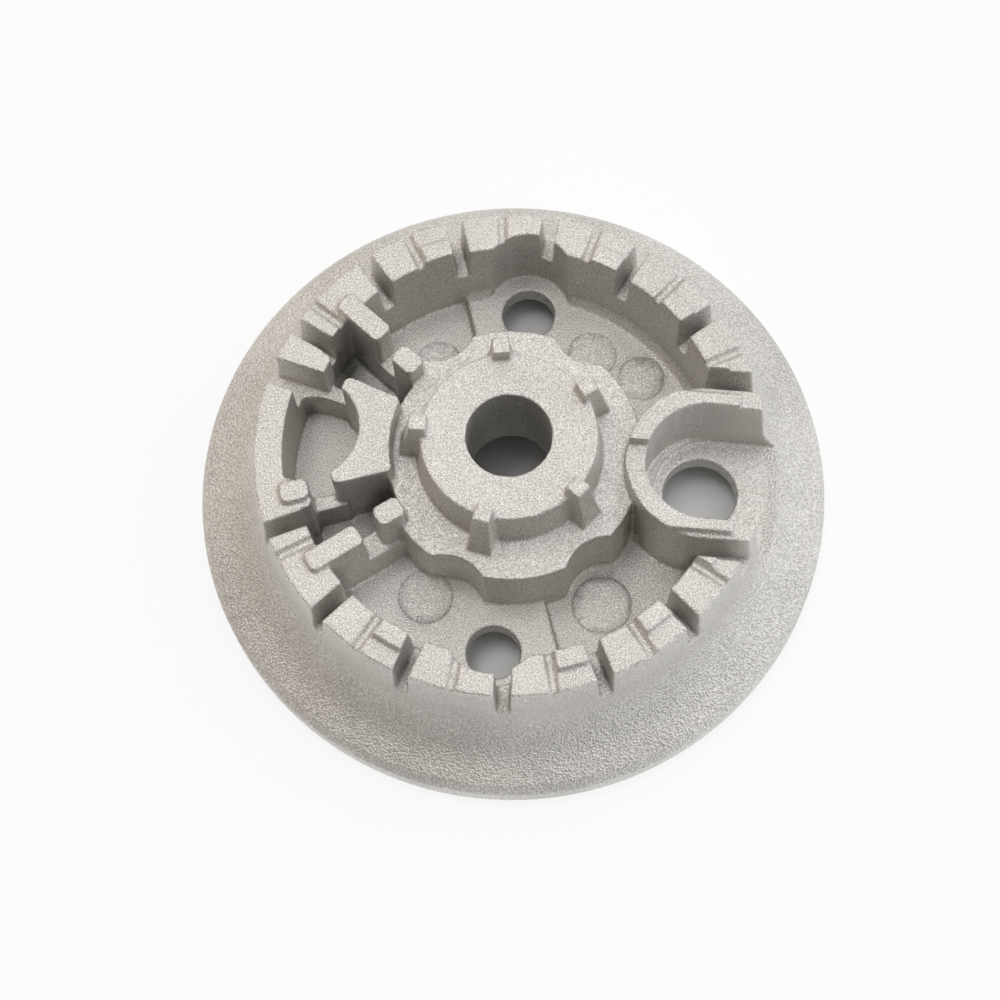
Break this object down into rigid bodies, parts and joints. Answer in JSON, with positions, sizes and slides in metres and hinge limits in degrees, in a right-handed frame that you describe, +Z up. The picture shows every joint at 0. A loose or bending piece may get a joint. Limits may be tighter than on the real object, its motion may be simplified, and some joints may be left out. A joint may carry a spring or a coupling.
{
  "type": "gas burner housing",
  "caption": "Round die-cast burner housing with a wide flange, a castellated crown of flame ports, a central venturi bore on a stepped hub, an igniter notch and an ignition chamber.",
  "frame": {"origin": "centre of the rim's foot, on the plane that the rim stands on", "axes": "+Z up along the venturi bore, +X through the igniter notch, +Y towards the screw hole on the vent's side"},
  "size_m": [0.06, 0.06, 0.018],
  "materials": {
    "cast_aluminium": "shot-blasted die casting, satin warm grey with a fine grain"
  },
  "bodies": {
    "root": {"burner_housing": "cast_aluminium"}
  },
  "joints": []
}
